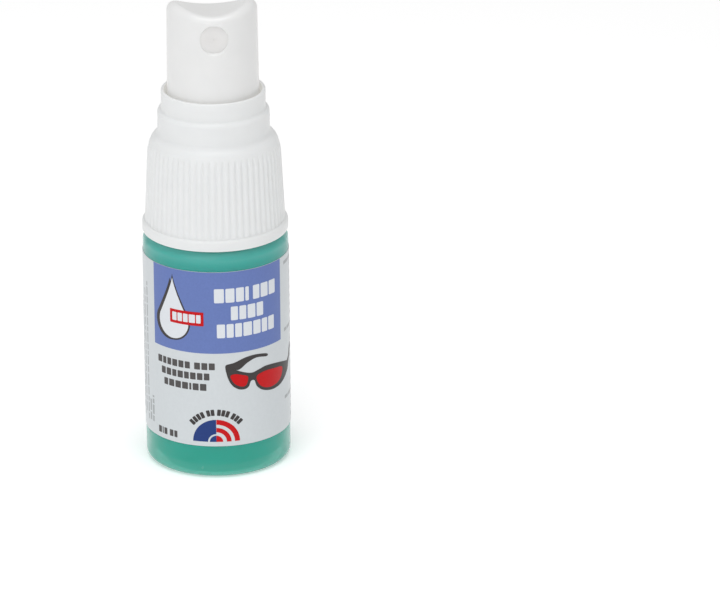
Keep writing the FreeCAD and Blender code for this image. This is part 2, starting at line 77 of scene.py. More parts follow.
# Bottle: body, base and neck
BODY_RADIUS = 12.5
WALL = 0.9
HEEL_ROUND = 1.5
SHOULDER_Z = 41.3
SHOULDER_ROUND = 1.5
PUSH_UP = 0.9
NECK_RADIUS = 8.75
NECK_BORE = 7.1
LIP_ROUND = 0.3

# Screw thread on the neck and in the closure
PITCH = 25.4 / 8
THREAD_START_Z = 49.2
RIDGE_ROOT_HALF = 0.75
RIDGE_CREST_HALF = 0.45

# Label, wrapped almost all the way round, and the thickness of one layer of ink
LABEL_RADIUS = BODY_RADIUS + 0.1
LABEL_GAP = math.radians(36)
LIFT = 0.016

# Nozzle: height, how far its face stands forward, and how far the button is turned
NOZZLE_Z = 77.9
NOZZLE_FACE = 7.35
NOZZLE_RADIUS = 2.36
NOZZLE_TURN = math.radians(3.8)

# Closure: its collar's bore and the ribs round its skirt
COLLAR_BORE = 8.4
RIBS = 62
RIB_DEPTH = 0.2
COLUMNS_PER_RIB = 12


# ---------------------------------------------------------------- mesh helpers

def linked_object(name, mesh, smooth_angle):
    """An object for a mesh, smooth apart from the edges sharper than an angle in degrees."""
    mesh.shade_smooth()
    mesh.set_sharp_from_angle(angle=math.radians(smooth_angle))
    obj = bpy.data.objects.new(name, mesh)
    bpy.context.scene.collection.objects.link(obj)
    return obj


def new_object(name, verts, faces, smooth_angle=35):
    """A closed mesh object from points in millimetres."""
    mesh = bpy.data.meshes.new(name)
    mesh.from_pydata([(x * MM, y * MM, z * MM) for x, y, z in verts], [], faces)
    mesh.validate()
    bm = bmesh.new()
    bm.from_mesh(mesh)
    bmesh.ops.remove_doubles(bm, verts=bm.verts, dist=1e-7)
    bmesh.ops.recalc_face_normals(bm, faces=bm.faces)
    bm.to_mesh(mesh)
    bm.free()
    return linked_object(name, mesh, smooth_angle)


def arc(centre, radii, start, end, steps):
    """Flat points along an ellipse, from start to end in degrees."""
    points = []
    for i in range(steps + 1):
        turn = math.radians(start + (end - start) * i / steps)
        points.append((centre[0] + radii[0] * math.cos(turn),
                       centre[1] + radii[1] * math.sin(turn)))
    return points


def ring_faces(rows, columns, closed=False):
    """Quads between neighbouring rings of points; closed joins the last ring to the first."""
    faces = []
    for row in range(rows if closed else rows - 1):
        below = row * columns
        above = (row + 1) % rows * columns
        for i in range(columns):
            j = (i + 1) % columns
            faces.append((below + i, below + j, above + j, above + i))
    return faces


def end_faces(rows, columns):
    """The faces that close the first and the last ring of points."""
    last = (rows - 1) * columns
    return [tuple(range(columns)), tuple(last + k for k in range(columns))]


def lathe(profile, columns, closed, move=None):
    """Verts and faces of a profile turned about Z; move(r, z, turn, row) may shift each point."""
    verts = []
    for row, (radius, height) in enumerate(profile):
        for i in range(columns):
            turn = TURN * i / columns
            r, z = move(radius, height, turn, row) if move else (radius, height)
            verts.append((r * math.cos(turn), r * math.sin(turn), z))
    return verts, ring_faces(len(profile), columns, closed)


def helix_ridge(root, crest, start_z, turns, start_turn):
    """Verts and faces of a screw thread's ridge, tapered at both ends."""
    steps_per_turn, fade = 72, 6
    steps = int(turns * steps_per_turn)
    verts = []
    for i in range(steps + 1):
        turn = start_turn + TURN * turns * i / steps
        z = start_z + PITCH * turns * i / steps
        grow = min(1.0, (i + 1) / fade, (steps + 1 - i) / fade)
        tip = root + (crest - root) * grow
        section = ((root, -RIDGE_ROOT_HALF), (tip, -RIDGE_CREST_HALF),
                   (tip, RIDGE_CREST_HALF), (root, RIDGE_ROOT_HALF))
        for radius, rise in section:
            verts.append((radius * math.cos(turn), radius * math.sin(turn), z + rise))
    sides = 4
    return verts, end_faces(steps + 1, sides) + ring_faces(steps + 1, sides)


def joined(*pieces):
    """One list of verts and faces from several."""
    verts, faces = [], []
    for more_verts, more_faces in pieces:
        shift = len(verts)
        verts += more_verts
        faces += [tuple(v + shift for v in face) for face in more_faces]
    return verts, faces


# ---------------------------------------------------------------- materials

def principled(name, colour, roughness, **inputs):
    """A material with one Principled shader; returns it, its nodes, links and shader."""
    material = bpy.data.materials.new(name)
    material.use_nodes = True
    nodes = material.node_tree.nodes
    links = material.node_tree.links
    shader = nodes["Principled BSDF"]
    shader.inputs["Base Color"].default_value = (*colour, 1)
    shader.inputs["Roughness"].default_value = roughness
    for key, value in inputs.items():
        shader.inputs[key.replace("_", " ")].default_value = value
    return material, nodes, links, shader


def darker(colour, share):
    """A colour with a share of its light taken away."""
    return tuple(c * (1 - share) for c in colour)


def math_node(nodes, links, operation, first, second):
    """The result of one operation on two values, each a number or a socket."""
    node = nodes.new("ShaderNodeMath")
    node.operation = operation
    for socket, value in zip(node.inputs, (first, second)):
        if isinstance(value, float):
            socket.default_value = value
        else:
            links.new(value, socket)
    return node.outputs["Value"]


def object_noise(nodes, links, scale, detail, stretch=(1, 1, 1)):
    """A noise texture in the object's own space."""
    coordinates = nodes.new("ShaderNodeTexCoord")
    mapping = nodes.new("ShaderNodeMapping")
    mapping.inputs["Scale"].default_value = stretch
    noise = nodes.new("ShaderNodeTexNoise")
    noise.inputs["Scale"].default_value = scale
    noise.inputs["Detail"].default_value = detail
    links.new(coordinates.outputs["Object"], mapping.inputs["Vector"])
    links.new(mapping.outputs["Vector"], noise.inputs["Vector"])
    return noise


def vary_colour(nodes, links, shader, noise, low, high):
    """Let the noise move the base colour between two colours."""
    ramp = nodes.new("ShaderNodeValToRGB")
    ramp.color_ramp.elements[0].position = 0.3
    ramp.color_ramp.elements[1].position = 0.7
    ramp.color_ramp.elements[0].color = (*low, 1)
    ramp.color_ramp.elements[1].color = (*high, 1)
    links.new(noise.outputs["Fac"], ramp.inputs["Fac"])
    links.new(ramp.outputs["Color"], shader.inputs["Base Color"])


def vary_roughness(nodes, links, shader, noise, low, high):
    """Let the noise move the roughness between two values."""
    spread = nodes.new("ShaderNodeMapRange")
    spread.inputs["To Min"].default_value = low
    spread.inputs["To Max"].default_value = high
    links.new(noise.outputs["Fac"], spread.inputs["Value"])
    links.new(spread.outputs["Result"], shader.inputs["Roughness"])


def add_bump(nodes, links, shader, noise, depth, strength):
    """A fine surface bump, depth in metres."""
    bump = nodes.new("ShaderNodeBump")
    bump.inputs["Distance"].default_value = depth
    bump.inputs["Strength"].default_value = strength
    links.new(noise.outputs["Fac"], bump.inputs["Height"])
    links.new(bump.outputs["Normal"], shader.inputs["Normal"])


def moulded_plastic(name, colour, roughness, shift=0.02, gloss=0.5):
    """White moulded plastic: faint flow clouds, uneven gloss, a fine mould texture and a faint
    painted glow.
    """
    # The faint warm emission is a painted glow that lifts the shade in creases and gaps.
    material, nodes, links, shader = principled(
        name, colour, roughness, IOR=1.49, Specular_IOR_Level=gloss,
        Subsurface_Weight=0.3, Subsurface_Scale=0.0012, Subsurface_Radius=(1.0, 0.95, 0.9),
        Emission_Strength=0.085, Emission_Color=(1.0, 0.965, 0.88, 1))
    material.cycles.emission_sampling = "NONE"
    clouds = object_noise(nodes, links, 260, 2.0)
    patches = object_noise(nodes, links, 900, 3.0)
    grain = object_noise(nodes, links, 3600, 2.0)
    vary_colour(nodes, links, shader, clouds, darker(colour, shift), colour)
    vary_roughness(nodes, links, shader, patches, roughness - 0.05, roughness + 0.08)
    add_bump(nodes, links, shader, grain, 0.000005, 0.4)
    return material


def paint_glow_in_collar(material):
    """A painted glow on the inside of the collar's bore, near its top, that lightens the shade in
    the gap round the button.
    """
    nodes, links = material.node_tree.nodes, material.node_tree.links
    shader = nodes["Principled BSDF"]
    reach = 7.0
    extra_glow = 0.13
    bore_and_margin = COLLAR_BORE * MM + 0.0001

    def result(operation, first, second):
        return math_node(nodes, links, operation, first, second)

    coordinates = nodes.new("ShaderNodeTexCoord")
    split = nodes.new("ShaderNodeSeparateXYZ")
    links.new(coordinates.outputs["Object"], split.inputs["Vector"])
    x, y, z = split.outputs
    across_squared = result("ADD", result("MULTIPLY", x, x), result("MULTIPLY", y, y))
    inside = result("LESS_THAN", across_squared, bore_and_margin ** 2)
    above = result("GREATER_THAN", z, (CLOSURE_HIGH - reach) * MM)
    # Painted glow: extra emission inside the bore near the collar's top.
    extra = result("MULTIPLY", result("MULTIPLY", inside, above), extra_glow)
    glow = result("ADD", extra, shader.inputs["Emission Strength"].default_value)
    links.new(glow, shader.inputs["Emission Strength"])


def drawn_steel(name, colour, roughness, stretch=(1, 1, 1)):
    """Bright steel with fine drawing marks."""
    material, nodes, links, shader = principled(name, colour, roughness, Metallic=1.0)
    marks = object_noise(nodes, links, 3000, 3.0, stretch)
    vary_roughness(nodes, links, shader, marks, roughness - 0.06, roughness + 0.1)
    vary_colour(nodes, links, shader, marks, darker(colour, 0.1), colour)
    return material


def ink(name, colour, shift=0.06):
    """Printed ink under a satin varnish, a little uneven."""
    material, nodes, links, shader = principled(name, colour, 0.38, Specular_IOR_Level=0.2)
    specks = object_noise(nodes, links, 2600, 4.0)
    patches = object_noise(nodes, links, 1200, 2.0)
    vary_colour(nodes, links, shader, specks, darker(colour, shift), colour)
    vary_roughness(nodes, links, shader, patches, 0.27, 0.4)
    return material


def height_ramp(nodes, links, stops):
    """A colour that changes with height; stops are (millimetres, colour) pairs, low to high."""
    coordinates = nodes.new("ShaderNodeTexCoord")
    split = nodes.new("ShaderNodeSeparateXYZ")
    spread = nodes.new("ShaderNodeMapRange")
    low, high = stops[0][0], stops[-1][0]
    spread.inputs["From Min"].default_value = low * MM
    spread.inputs["From Max"].default_value = high * MM
    ramp = nodes.new("ShaderNodeValToRGB")
    ramp.color_ramp.interpolation = "EASE"
    elements = ramp.color_ramp.elements
    elements[0].color = (*stops[0][1], 1)
    elements[1].color = (*stops[-1][1], 1)
    for height, colour in stops[1:-1]:
        elements.new((height - low) / (high - low)).color = (*colour, 1)
    links.new(coordinates.outputs["Object"], split.inputs["Vector"])
    links.new(split.outputs["Z"], spread.inputs["Value"])
    links.new(spread.outputs["Result"], ramp.inputs["Fac"])
    return ramp.outputs["Color"]


def mix_colours(nodes, links, factor, low, high, share):
    """Blend from a colour socket towards a plain colour by a factor socket times a share."""
    mix = nodes.new("ShaderNodeMix")
    mix.data_type = "RGBA"
    links.new(math_node(nodes, links, "MULTIPLY", factor, share), mix.inputs["Factor"])
    links.new(low, mix.inputs["A"])
    mix.inputs["B"].default_value = (*high, 1)
    return mix.outputs["Result"]


def bottle_plastic():
    """Hazy natural polyethylene: teal from the liquid behind it, milky above the fill, with a
    faint painted glow and painted light on the shoulder.
    """
    # The faint teal emission is a painted glow that lifts the shade under the closure's ring.
    material, nodes, links, shader = principled(
        "bottle_plastic", (0.008, 0.39, 0.325), 0.24, Alpha=0.72, IOR=1.5,
        Subsurface_Weight=0.6, Subsurface_Scale=0.004, Subsurface_Radius=(0.6, 1.0, 0.9),
        Sheen_Weight=0.5, Sheen_Roughness=0.4,
        Emission_Strength=0.05, Emission_Color=(0.1, 0.7, 0.6, 1))
    material.cycles.emission_sampling = "NONE"
    # Lighter towards the shoulder: partly the milky headspace above the fill, partly painted
    # light on the shoulder's rounding.
    teal_and_shoulder_light = height_ramp(nodes, links, [
        (0, (0.004, 0.36, 0.27)),
        (3.2, (0.001, 0.37, 0.275)),
        (36, (0.008, 0.39, 0.325)),
        (38.6, (0.03, 0.40, 0.35)),
        (40.6, (0.10, 0.48, 0.43)),
        (44, (0.62, 0.72, 0.70)),
    ])
    flow = object_noise(nodes, links, 150, 3.0, (1, 1, 0.4))
    patches = object_noise(nodes, links, 700, 3.0)
    grain = object_noise(nodes, links, 1600, 3.0)
    clouded = mix_colours(nodes, links, flow.outputs["Fac"], teal_and_shoulder_light, (0.05, 0.45, 0.38), 0.16)
    links.new(clouded, shader.inputs["Base Color"])
    vary_roughness(nodes, links, shader, patches, 0.2, 0.3)
    add_bump(nodes, links, shader, grain, 0.00001, 0.3)
    return material


def liquid_look():
    """Teal cleaning liquid, slightly deeper towards the bottom."""
    low, high = (0.003, 0.52, 0.43), (0.004, 0.60, 0.49)
    material, nodes, links, shader = principled("liquid", low, 0.12, IOR=1.33)
    links.new(height_ramp(nodes, links, [(0, low), (40, high)]), shader.inputs["Base Color"])
    return material


def label_film():
    """White film label with a satin face."""
    low, high = (0.61, 0.645, 0.665), (0.63, 0.665, 0.685)
    material, nodes, links, shader = principled("label_film", high, 0.34, Specular_IOR_Level=0.25)
    specks = object_noise(nodes, links, 1800, 3.0)
    patches = object_noise(nodes, links, 400, 2.0)
    waves = object_noise(nodes, links, 300, 2.0)
    vary_colour(nodes, links, shader, specks, low, high)
    vary_roughness(nodes, links, shader, patches, 0.26, 0.38)
    add_bump(nodes, links, shader, waves, 0.00003, 0.4)
    return material


def cloudy_foam(name, colour):
    """Closed-cell foam: matt with a fine cell texture."""
    material, nodes, links, shader = principled(name, colour, 0.8)
    cells = object_noise(nodes, links, 4000, 4.0)
    vary_colour(nodes, links, shader, cells, darker(colour, 0.1), colour)
    add_bump(nodes, links, shader, cells, 0.00003, 0.8)
    return material


WHITE_CAP = moulded_plastic("closure_plastic", (0.705, 0.72, 0.73), 0.36, gloss=0.2)
paint_glow_in_collar(WHITE_CAP)
WHITE_BUTTON = moulded_plastic("button_plastic", (0.705, 0.71, 0.715), 0.3)
NOZZLE_WHITE = moulded_plastic("nozzle_plastic", (0.665, 0.66, 0.66), 0.42, shift=0.01)
PUMP_WHITE = moulded_plastic("pump_plastic", (0.80, 0.80, 0.77), 0.4)
STEM_WHITE = moulded_plastic("stem_plastic", (0.83, 0.83, 0.80), 0.3)
PISTON_WHITE = moulded_plastic("piston_plastic", (0.84, 0.84, 0.81), 0.5)
TUBE_WHITE = moulded_plastic("tube_plastic", (0.76, 0.79, 0.76), 0.35)
FOAM = cloudy_foam("gasket_foam", (0.86, 0.86, 0.84))
STEEL = drawn_steel("steel", (0.72, 0.73, 0.75), 0.12)
SPRING = drawn_steel("spring_steel", (0.60, 0.61, 0.63), 0.28, stretch=(1, 1, 6))
BOTTLE_LOOK = bottle_plastic()
LIQUID_LOOK = liquid_look()
FILM = label_film()
BLUE_INK = ink("blue_ink", (0.138, 0.2, 0.475))
WHITE_INK = ink("white_ink", (0.72, 0.75, 0.79), shift=0.02)
DARK_INK = ink("dark_ink", (0.05, 0.045, 0.045))
TEXT_INK = ink("text_ink", (0.085, 0.08, 0.08))
RED_INK = ink("red_ink", (0.56, 0.0, 0.003))
NAVY_INK = ink("navy_ink", (0.016, 0.045, 0.2))
GREY_INK = ink("grey_ink", (0.40, 0.42, 0.43))


def set_look(obj, material):
    """Give an object one material in every slot."""
    if not obj.data.materials:
        obj.data.materials.append(material)
    for i in range(len(obj.data.materials)):
        obj.data.materials[i] = material


def place(obj, body, material, replaces=None):
    """Give a piece its look, its CAD body and the node it stands for."""
    set_look(obj, material)
    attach(obj, body)
    if replaces:
        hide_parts(replaces)
    return obj


# ---------------------------------------------------------------- bottle and liquid

def bottle_piece():
    """The bottle, turned from its section, with the thread on its neck."""
    top = BOTTLE_HIGH
    inner = BODY_RADIUS - WALL
    floor = PUSH_UP + WALL
    roof = SHOULDER_Z - WALL
    push_up_radius = 9.6
    floor_ring = 4.5
    outer_round = (HEEL_ROUND, HEEL_ROUND)
    inner_round = (HEEL_ROUND - WALL / 2, HEEL_ROUND - WALL / 2)
    heel_radius = BODY_RADIUS - HEEL_ROUND
    heel_radius_in = inner - inner_round[0]
    lip = (LIP_ROUND, LIP_ROUND)
    label_middle = 22

    profile = [(0, PUSH_UP), (floor_ring, PUSH_UP)]
    profile += arc((push_up_radius - PUSH_UP, 0), (PUSH_UP, PUSH_UP), 90, 0, 6)
    profile += arc((heel_radius, HEEL_ROUND), outer_round, -90, 0, 10)
    profile += [(BODY_RADIUS, z) for z in (LABEL_LOW, label_middle, LABEL_HIGH)]
    profile += arc((BODY_RADIUS - SHOULDER_ROUND, SHOULDER_Z - SHOULDER_ROUND),
                   (SHOULDER_ROUND, SHOULDER_ROUND), 0, 90, 10)
    profile += arc((NECK_RADIUS + LIP_ROUND, SHOULDER_Z + LIP_ROUND), lip, -90, -180, 4)
    profile += arc((NECK_RADIUS - LIP_ROUND, top - LIP_ROUND), lip, 0, 90, 5)
    profile += [(NECK_BORE, top), (NECK_BORE, roof + 5), (NECK_BORE, roof)]
    profile += arc((heel_radius_in, roof - inner_round[1]), inner_round, 90, 0, 6)
    profile += arc((heel_radius_in, floor + inner_round[1]), inner_round, 0, -90, 6)
    profile += [(floor_ring, floor), (0, floor)]
    body = lathe(profile, 192, closed=False)
    crest, turns = 9.75, 1.25
    thread = helix_ridge(NECK_RADIUS - 0.2, crest, THREAD_START_Z, turns, 0)
    return new_object("bottle_shell", *joined(body, thread))


def liquid_piece():
    """The liquid, with the room that the pump and dip tube take up."""
    wall_gap = 0.04
    inner = BODY_RADIUS - WALL - wall_gap
    low, high = LIQUID_LOW, LIQUID_HIGH
    heel = HEEL_ROUND - WALL / 2
    meniscus = 0.25
    surface = high - meniscus
    pump_radius, pump_low = 4.24, 38.16
    socket_radius, socket_high, socket_low = 2.14, 36.36, 31.5
    tube_radius, tube_low = 1.24, 2.72
    profile = [(0, low), (5, low)]
    profile += arc((inner - heel, low + heel), (heel, heel), -90, 0, 8)
    profile += [(inner, high - 1.0), (inner, high), (inner - meniscus, surface), (6.5, surface)]
    profile += [(pump_radius, surface), (pump_radius, pump_low)]
    profile += [(socket_radius, socket_high), (socket_radius, socket_low)]
    profile += [(tube_radius, socket_low), (tube_radius, tube_low), (0, tube_low)]
    return new_object("liquid_fill", *lathe(profile, 128, closed=False))


# ---------------------------------------------------------------- closure

def closure_piece():
    """Ribbed closure: bottom ring, ribs that fade on the dome, two-step collar."""
    low = CLOSURE_LOW
    ring_radius, ring_top, ring_round = 12.55, 43.6, 0.6
    foot_radius, head_radius, dome_start = 12.05, 11.5, 54.6
    dome_top, dome_radius, blend_turn = 58.8, 9.8, 75.0
    lean = (head_radius - foot_radius) / (dome_start - ring_top)
    bore, deck_low, deck_high, hole = 10.1, 56.8, 58.9, 6.0
    step_radius, step_top, step_round = 9.6, 63.6, 0.9
    rim_radius, rim_top, rim_round = 8.93, CLOSURE_HIGH, 0.27
    step_fillet, foot_round, edge = 0.4, 0.3, 0.2
    groove_sharpness, groove_start = 1.6, 0.35
    deepen_share, deepen_low, deepen_length = 0.7, 55, 2.5

    def skirt(z):
        """The drafted skirt's radius at a height."""
        return foot_radius + lean * (z - ring_top)

    profile = [(bore + edge, low), (ring_radius - foot_round, low)]
    profile += arc((ring_radius - foot_round, low + foot_round),
                   (foot_round, foot_round), -60, 0, 3)
    profile += arc((ring_radius - ring_round, ring_top - ring_round),
                   (ring_round, ring_round), 0, 85, 7)
    profile += [(foot_radius + 0.06, ring_top + 0.02)]
    first_rib_row = len(profile)
    profile += [(skirt(z), z) for z in (ring_top + 0.12, ring_top + 0.3, 46, 48, 50, 52, 53.5)]
    width, height = head_radius - dome_radius, dome_top - dome_start
    profile += arc((dome_radius, dome_start), (width, height), 0, blend_turn, 20)
    last_rib_row = len(profile)
    # A hollow fillet leads from the dome to the first step's upright wall.
    fall = math.atan2(height * math.cos(math.radians(blend_turn)),
                      width * math.sin(math.radians(blend_turn)))
    blend = (profile[-1][0] - step_radius) / (1 - math.sin(fall))
    blend_centre = (step_radius + blend, profile[-1][1] + blend * math.cos(fall))
    profile += arc(blend_centre, (blend, blend), 270 - math.degrees(fall), 180, 7)[1:]
    profile += arc((step_radius - step_round, step_top - step_round),
                   (step_round, step_round), 0, 62, 7)
    profile += arc((rim_radius + step_fillet, step_top + 0.23),
                   (step_fillet, step_fillet), -118, -178, 4)
    profile += [(rim_radius, 65.5)]
    profile += arc((rim_radius - rim_round, rim_top - rim_round),
                   (rim_round, rim_round), 0, 90, 6)
    profile += arc((COLLAR_BORE + edge, rim_top - edge), (edge, edge), 90, 180, 4)
    profile += [(COLLAR_BORE, 62), (COLLAR_BORE, deck_high), (hole, deck_high), (hole, deck_low)]
    profile += [(bore, deck_low), (bore, 50), (bore, low + edge)]

    def ribbed(radius, height, turn, row):
        """Press the grooves between the ribs into the skirt; the dome cuts off their tops."""
        if not first_rib_row <= row < last_rib_row:
            return radius, height
        wave = 0.5 + 0.5 * math.cos(RIBS * turn)
        start = min(1.0, (height - ring_top) / groove_start)
        deepen = 1 + deepen_share * min(1.0, max(0.0, (height - deepen_low) / deepen_length))
        groove = skirt(height) - RIB_DEPTH * deepen * start * wave ** groove_sharpness
        return min(radius, groove) if height > dome_start else groove, height

    body = lathe(profile, RIBS * COLUMNS_PER_RIB, closed=True, move=ribbed)
    crest, turns, start_share, below_neck_ridge = 9.1, 1.0, 1 / 6, 1.24
    start_z = THREAD_START_Z - below_neck_ridge + PITCH * start_share
    thread = helix_ridge(bore + 0.2, crest, start_z, turns, TURN * start_share)
    return new_object("closure_shell", *joined(body, thread), smooth_angle=50)


# ---------------------------------------------------------------- label and its print

def wrap(u, v, lift):
    """A point of the flat artwork, u along the wrap and v up, on the label."""
    turn = u / LABEL_RADIUS
    radius = LABEL_RADIUS + lift
    return Vector((radius * math.sin(turn), -radius * math.cos(turn), v)) * MM


def label_piece():
    """The label's film: a strip wrapped round the bottle, open at the back."""
    half = (TURN - LABEL_GAP) / 2
    steps = 180
    corner = 0.8
    edge = 0.03
    inner, outer = BODY_RADIUS + 0.005, LABEL_RADIUS
    insets = {0: corner, 1: corner * 0.25, steps - 1: corner * 0.25, steps: corner}
    verts = []
    for i in range(steps + 1):
        turn = -half + 2 * half * i / steps
        low = LABEL_LOW + insets.get(i, 0.0)
        high = LABEL_HIGH - insets.get(i, 0.0)
        section = [(inner, low), (outer - edge, low), (outer, low + edge),
                   (outer, high - edge), (outer - edge, high), (inner, high)]
        for radius, z in section:
            verts.append((radius * math.sin(turn), -radius * math.cos(turn), z))
    faces = ring_faces(steps + 1, len(section)) + end_faces(steps + 1, len(section))
    return new_object("label_film", verts, faces, 30)


def rounded_box(u0, v0, u1, v1, radius, steps=4):
    """A rectangle with rounded corners, as flat points."""
    points = []
    for cu, cv, start in ((u1 - radius, v0 + radius, -90), (u1 - radius, v1 - radius, 0),
                          (u0 + radius, v1 - radius, 90), (u0 + radius, v0 + radius, 180)):
        points += arc((cu, cv), (radius, radius), start, start + 90, steps)
    return points


def smooth_loop(points):
    """A closed Catmull-Rom curve through flat points."""
    steps = 5
    count = len(points)
    curve = []
    for i in range(count):
        p0, p1, p2, p3 = (Vector(points[(i + k - 1) % count]) for k in range(4))
        square = 2 * p0 - 5 * p1 + 4 * p2 - p3
        cube = 3 * p1 - p0 - 3 * p2 + p3
        for step in range(steps):
            t = step / steps
            curve.append(tuple(0.5 * (2 * p1 + (p2 - p0) * t + square * t * t + cube * t ** 3)))
    return curve


def turned_points(points, centre, angle):
    """Flat points turned about a centre, in degrees."""
    cosine, sine = math.cos(math.radians(angle)), math.sin(math.radians(angle))
    return [(centre[0] + (u - centre[0]) * cosine - (v - centre[1]) * sine,
             centre[1] + (u - centre[0]) * sine + (v - centre[1]) * cosine) for u, v in points]


def print_piece(name, outlines, lift, material):
    """Flat outlines as one thin layer of ink that follows the label's curve."""
    column = 0.45
    sunk = -0.01
    bm = bmesh.new()
    for outline in outlines:
        corners = [bm.verts.new((u, v, 0)) for u, v in outline]
        bm.faces.new(corners)
    left = min(u for outline in outlines for u, v in outline)
    right = max(u for outline in outlines for u, v in outline)
    for i in range(int(left / column), int(right / column) + 1):
        geometry = bm.verts[:] + bm.edges[:] + bm.faces[:]
        bmesh.ops.bisect_plane(bm, geom=geometry, dist=1e-6,
                               plane_co=(i * column, 0, 0), plane_no=(1, 0, 0))
    bmesh.ops.recalc_face_normals(bm, faces=bm.faces)
    for face in bm.faces:
        if face.normal.z < 0:
            face.normal_flip()
    raised = bmesh.ops.extrude_face_region(bm, geom=bm.faces[:])
    top = {v for v in raised["geom"] if isinstance(v, bmesh.types.BMVert)}
    for v in bm.verts:
        v.co = wrap(v.co.x, v.co.y, lift if v in top else sunk)
    bmesh.ops.recalc_face_normals(bm, faces=bm.faces)
    mesh = bpy.data.meshes.new(name)
    bm.to_mesh(mesh)
    bm.free()
    place(linked_object(name, mesh, 40), "bottle", material)


def greeked_line(u0, u1, middle, height, words, gap=0.22, space=0.55):
    """A line of plain blocks that stands for words; words lists the block widths in each."""
    wide = sum(sum(word) for word in words)
    gaps = sum(len(word) - 1 for word in words) * gap + (len(words) - 1) * space
    scale = (u1 - u0 - gaps) / wide
    low, high, corner = middle - height / 2, middle + height / 2, height * 0.07
    blocks = []
    u = u0
    for word in words:
        for width in word:
            end = u + width * scale
            blocks.append(rounded_box(u, low, end, high, corner, 2))
            u = end + gap
        u += space - gap
    return blocks


def printed_panel():
    """The plain blue panel over the label's upper half."""
    u0, v0, u1, v1 = -12.35, 23.15, 13.5, LABEL_HIGH - 0.02
    print_piece("print_blue_panel", [[(u0, v0), (u1, v0), (u1, v1), (u0, v1)]], LIFT, BLUE_INK)


def drop_outline(centre, radius, height, grow=0.0):
    """A drop: round below, drawn out to a point above."""
    cu, cv = centre
    radius += grow
    points = arc(centre, (radius, radius), -200, 20, 26)
    tip_v = cv + height + grow * 2.2
    side_u, side_v = points[-1]
    steps = 9
    rise = []
    for i in range(1, steps):
        t = i / steps
        rise.append(((side_u - cu) * (1 - t) ** 1.25 + cu, side_v + (tip_v - side_v) * t))
    mirrored = [(2 * cu - u, v) for u, v in reversed(rise)]
    return points + rise + [(cu, tip_v)] + mirrored


def printed_drop():
    """A plain cleaning drop with a dark shaded side and a red bar across it."""
    centre = (-7.7, 28.3)
    shade_centre = (centre[0] - 0.55, centre[1] - 0.1)
    radius, height = 3.05, 8.0
    edge = drop_outline(centre, radius, height, 0.3)
    shade = drop_outline(shade_centre, radius, 7.4, 0.25)
    drop = drop_outline(centre, radius, height)
    print_piece("print_drop_edge", [edge], 2 * LIFT, DARK_INK)
    print_piece("print_drop_shade", [shade], 2.5 * LIFT, DARK_INK)
    print_piece("print_drop", [drop], 3 * LIFT, WHITE_INK)
    bar = rounded_box(-8.25, 28.15, -1.95, 30.65, 0.12)
    print_piece("print_red_bar", [bar], 4 * LIFT, RED_INK)
    blocks = greeked_line(-7.75, -2.45, 29.4, 1.5, [[1.0, 1.0, 1.0, 1.3, 0.9]], gap=0.2)
    print_piece("print_red_bar_blocks", blocks, 5 * LIFT, WHITE_INK)


def printed_title():
    """Three greeked title lines, white on blue."""
    blocks = greeked_line(-0.1, 11.8, 33.7, 2.55,
                          [[1.3, 1.2, 1.1, 0.5], [1.0, 1.2, 1.2]], gap=0.26, space=0.8)
    blocks += greeked_line(2.75, 8.9, 30.4, 2.5, [[1.0, 1.0, 1.2, 1.1]], gap=0.26)
    blocks += greeked_line(0.3, 11.45, 27.25, 2.5,
                           [[1.1, 0.95, 0.95, 1.25, 1.15, 0.95, 1.1]], gap=0.26)
    print_piece("print_title_blocks", blocks, 2 * LIFT, WHITE_INK)


def printed_tagline():
    """Three greeked lines in dark grey, and a short one at the foot."""
    blocks = greeked_line(-11.4, -0.15, 20.75, 1.25,
                          [[1.2, 0.9, 1.0, 1.2, 1.15, 1.1], [1.2, 1.2, 1.2]],
                          gap=0.25, space=0.8)
    blocks += greeked_line(-10.5, -1.1, 18.85, 1.25,
                           [[1.1, 1.15, 1.0, 1.2, 1.0, 1.15, 1.1, 1.1]], gap=0.25)
    blocks += greeked_line(-9.9, -1.65, 16.9, 1.25,
                           [[0.95, 1.2, 1.2, 1.2, 0.4, 1.15, 1.2]], gap=0.25)
    blocks += greeked_line(-11.6, -7.2, 7.5, 1.2, [[1.1, 0.35, 1.0], [1.1, 0.9]], space=0.6)
    print_piece("print_tagline_blocks", blocks, LIFT, TEXT_INK)


